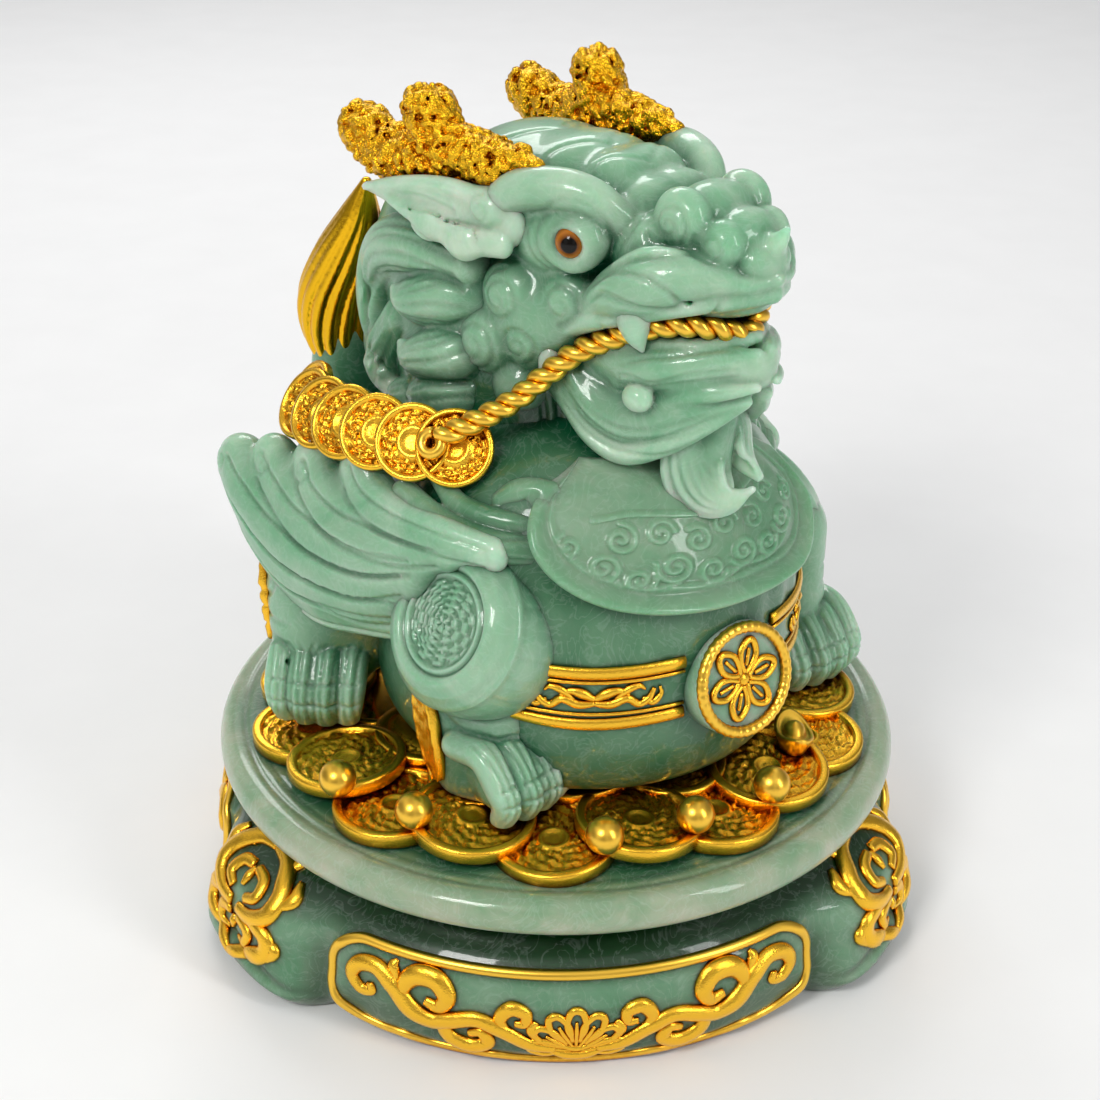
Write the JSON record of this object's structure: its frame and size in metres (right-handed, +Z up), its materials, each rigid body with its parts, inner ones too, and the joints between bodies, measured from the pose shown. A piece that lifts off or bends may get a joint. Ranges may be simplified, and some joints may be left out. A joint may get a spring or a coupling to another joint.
{
  "type": "jade figurine",
  "caption": "Dragon-headed guardian beast in green jade-like stone with gilt antlers, coins and belt, seated on a turning plate over a footed stand.",
  "frame": {"origin": "centre of the stand's underside, on the table, on the turning axis", "axes": "+Z up along the turning axis, -Y towards the stand's front panel, +X to the right seen from the front"},
  "size_m": [0.1643, 0.1703, 0.1938],
  "materials": {
    "jade_light": "polished, translucent pale green with cloudy veins",
    "jade_dark": "polished, translucent mid green, mottled",
    "gold_paint": "polished gold plating with brown antiquing in the recesses",
    "eye_amber": "polished amber cabochon with a black pupil",
    "bearing_steel": "zinc plated",
    "cage_nylon": "natural nylon",
    "cover_board": "dark fibreboard",
    "felt": "dark green felt"
  },
  "bodies": {
    "stand": {"stand_shell": "jade_dark", "base_cover": "cover_board", "felt_sheet": "felt", "bearing_lower_race": "bearing_steel", "bearing_balls": "bearing_steel", "ball_cage": "cage_nylon", "stand_screws": "bearing_steel", "panel_frame_1": "gold_paint", "panel_frame_2": "gold_paint", "panel_frame_3": "gold_paint", "panel_scrollwork_1": "gold_paint", "panel_scrollwork_2": "gold_paint", "panel_scrollwork_3": "gold_paint", "foot_ornament_1": "gold_paint", "foot_ornament_2": "gold_paint", "foot_ornament_3": "gold_paint"},
    "turntable": {"bearing_upper_race": "bearing_steel", "pivot_rivet": "bearing_steel", "plate_screws": "bearing_steel", "turning_plate": "jade_light", "coin_bed": "gold_paint", "coins_lower": "gold_paint", "coins_upper": "gold_paint", "coin_beads": "gold_paint", "ingots": "gold_paint", "belt": "gold_paint", "medallion_ring": "gold_paint", "medallion_emblem": "gold_paint", "leg_scales": "gold_paint", "rope": "gold_paint", "tail_flame": "gold_paint", "antler_right": "gold_paint", "antler_left": "gold_paint", "coin_string_right": "gold_paint", "coin_string_left": "gold_paint", "belly": "jade_light", "rump": "jade_light", "neck": "jade_light", "bib": "jade_light", "barrel_right": "jade_light", "barrel_left": "jade_light", "wing_right": "jade_light", "wing_left": "jade_light", "leg_front_right": "jade_light", "leg_front_left": "jade_light", "leg_rear_right": "jade_light", "leg_rear_left": "jade_light", "head": "jade_light", "mane": "jade_light", "lower_jaw": "jade_light", "chin_beard": "jade_light", "ear_right": "jade_light", "ear_left": "jade_light", "tail_base": "jade_light", "medallion": "jade_light", "fangs": "jade_light", "eye_right": "eye_amber", "eye_left": "eye_amber"}
  },
  "joints": [
    {"name": "turntable_spin", "type": "hinge", "parent": "stand", "child": "turntable", "pos_m": [0, 0, 0.0335], "axis": [0, 0, 1], "continuous": true}
  ]
}
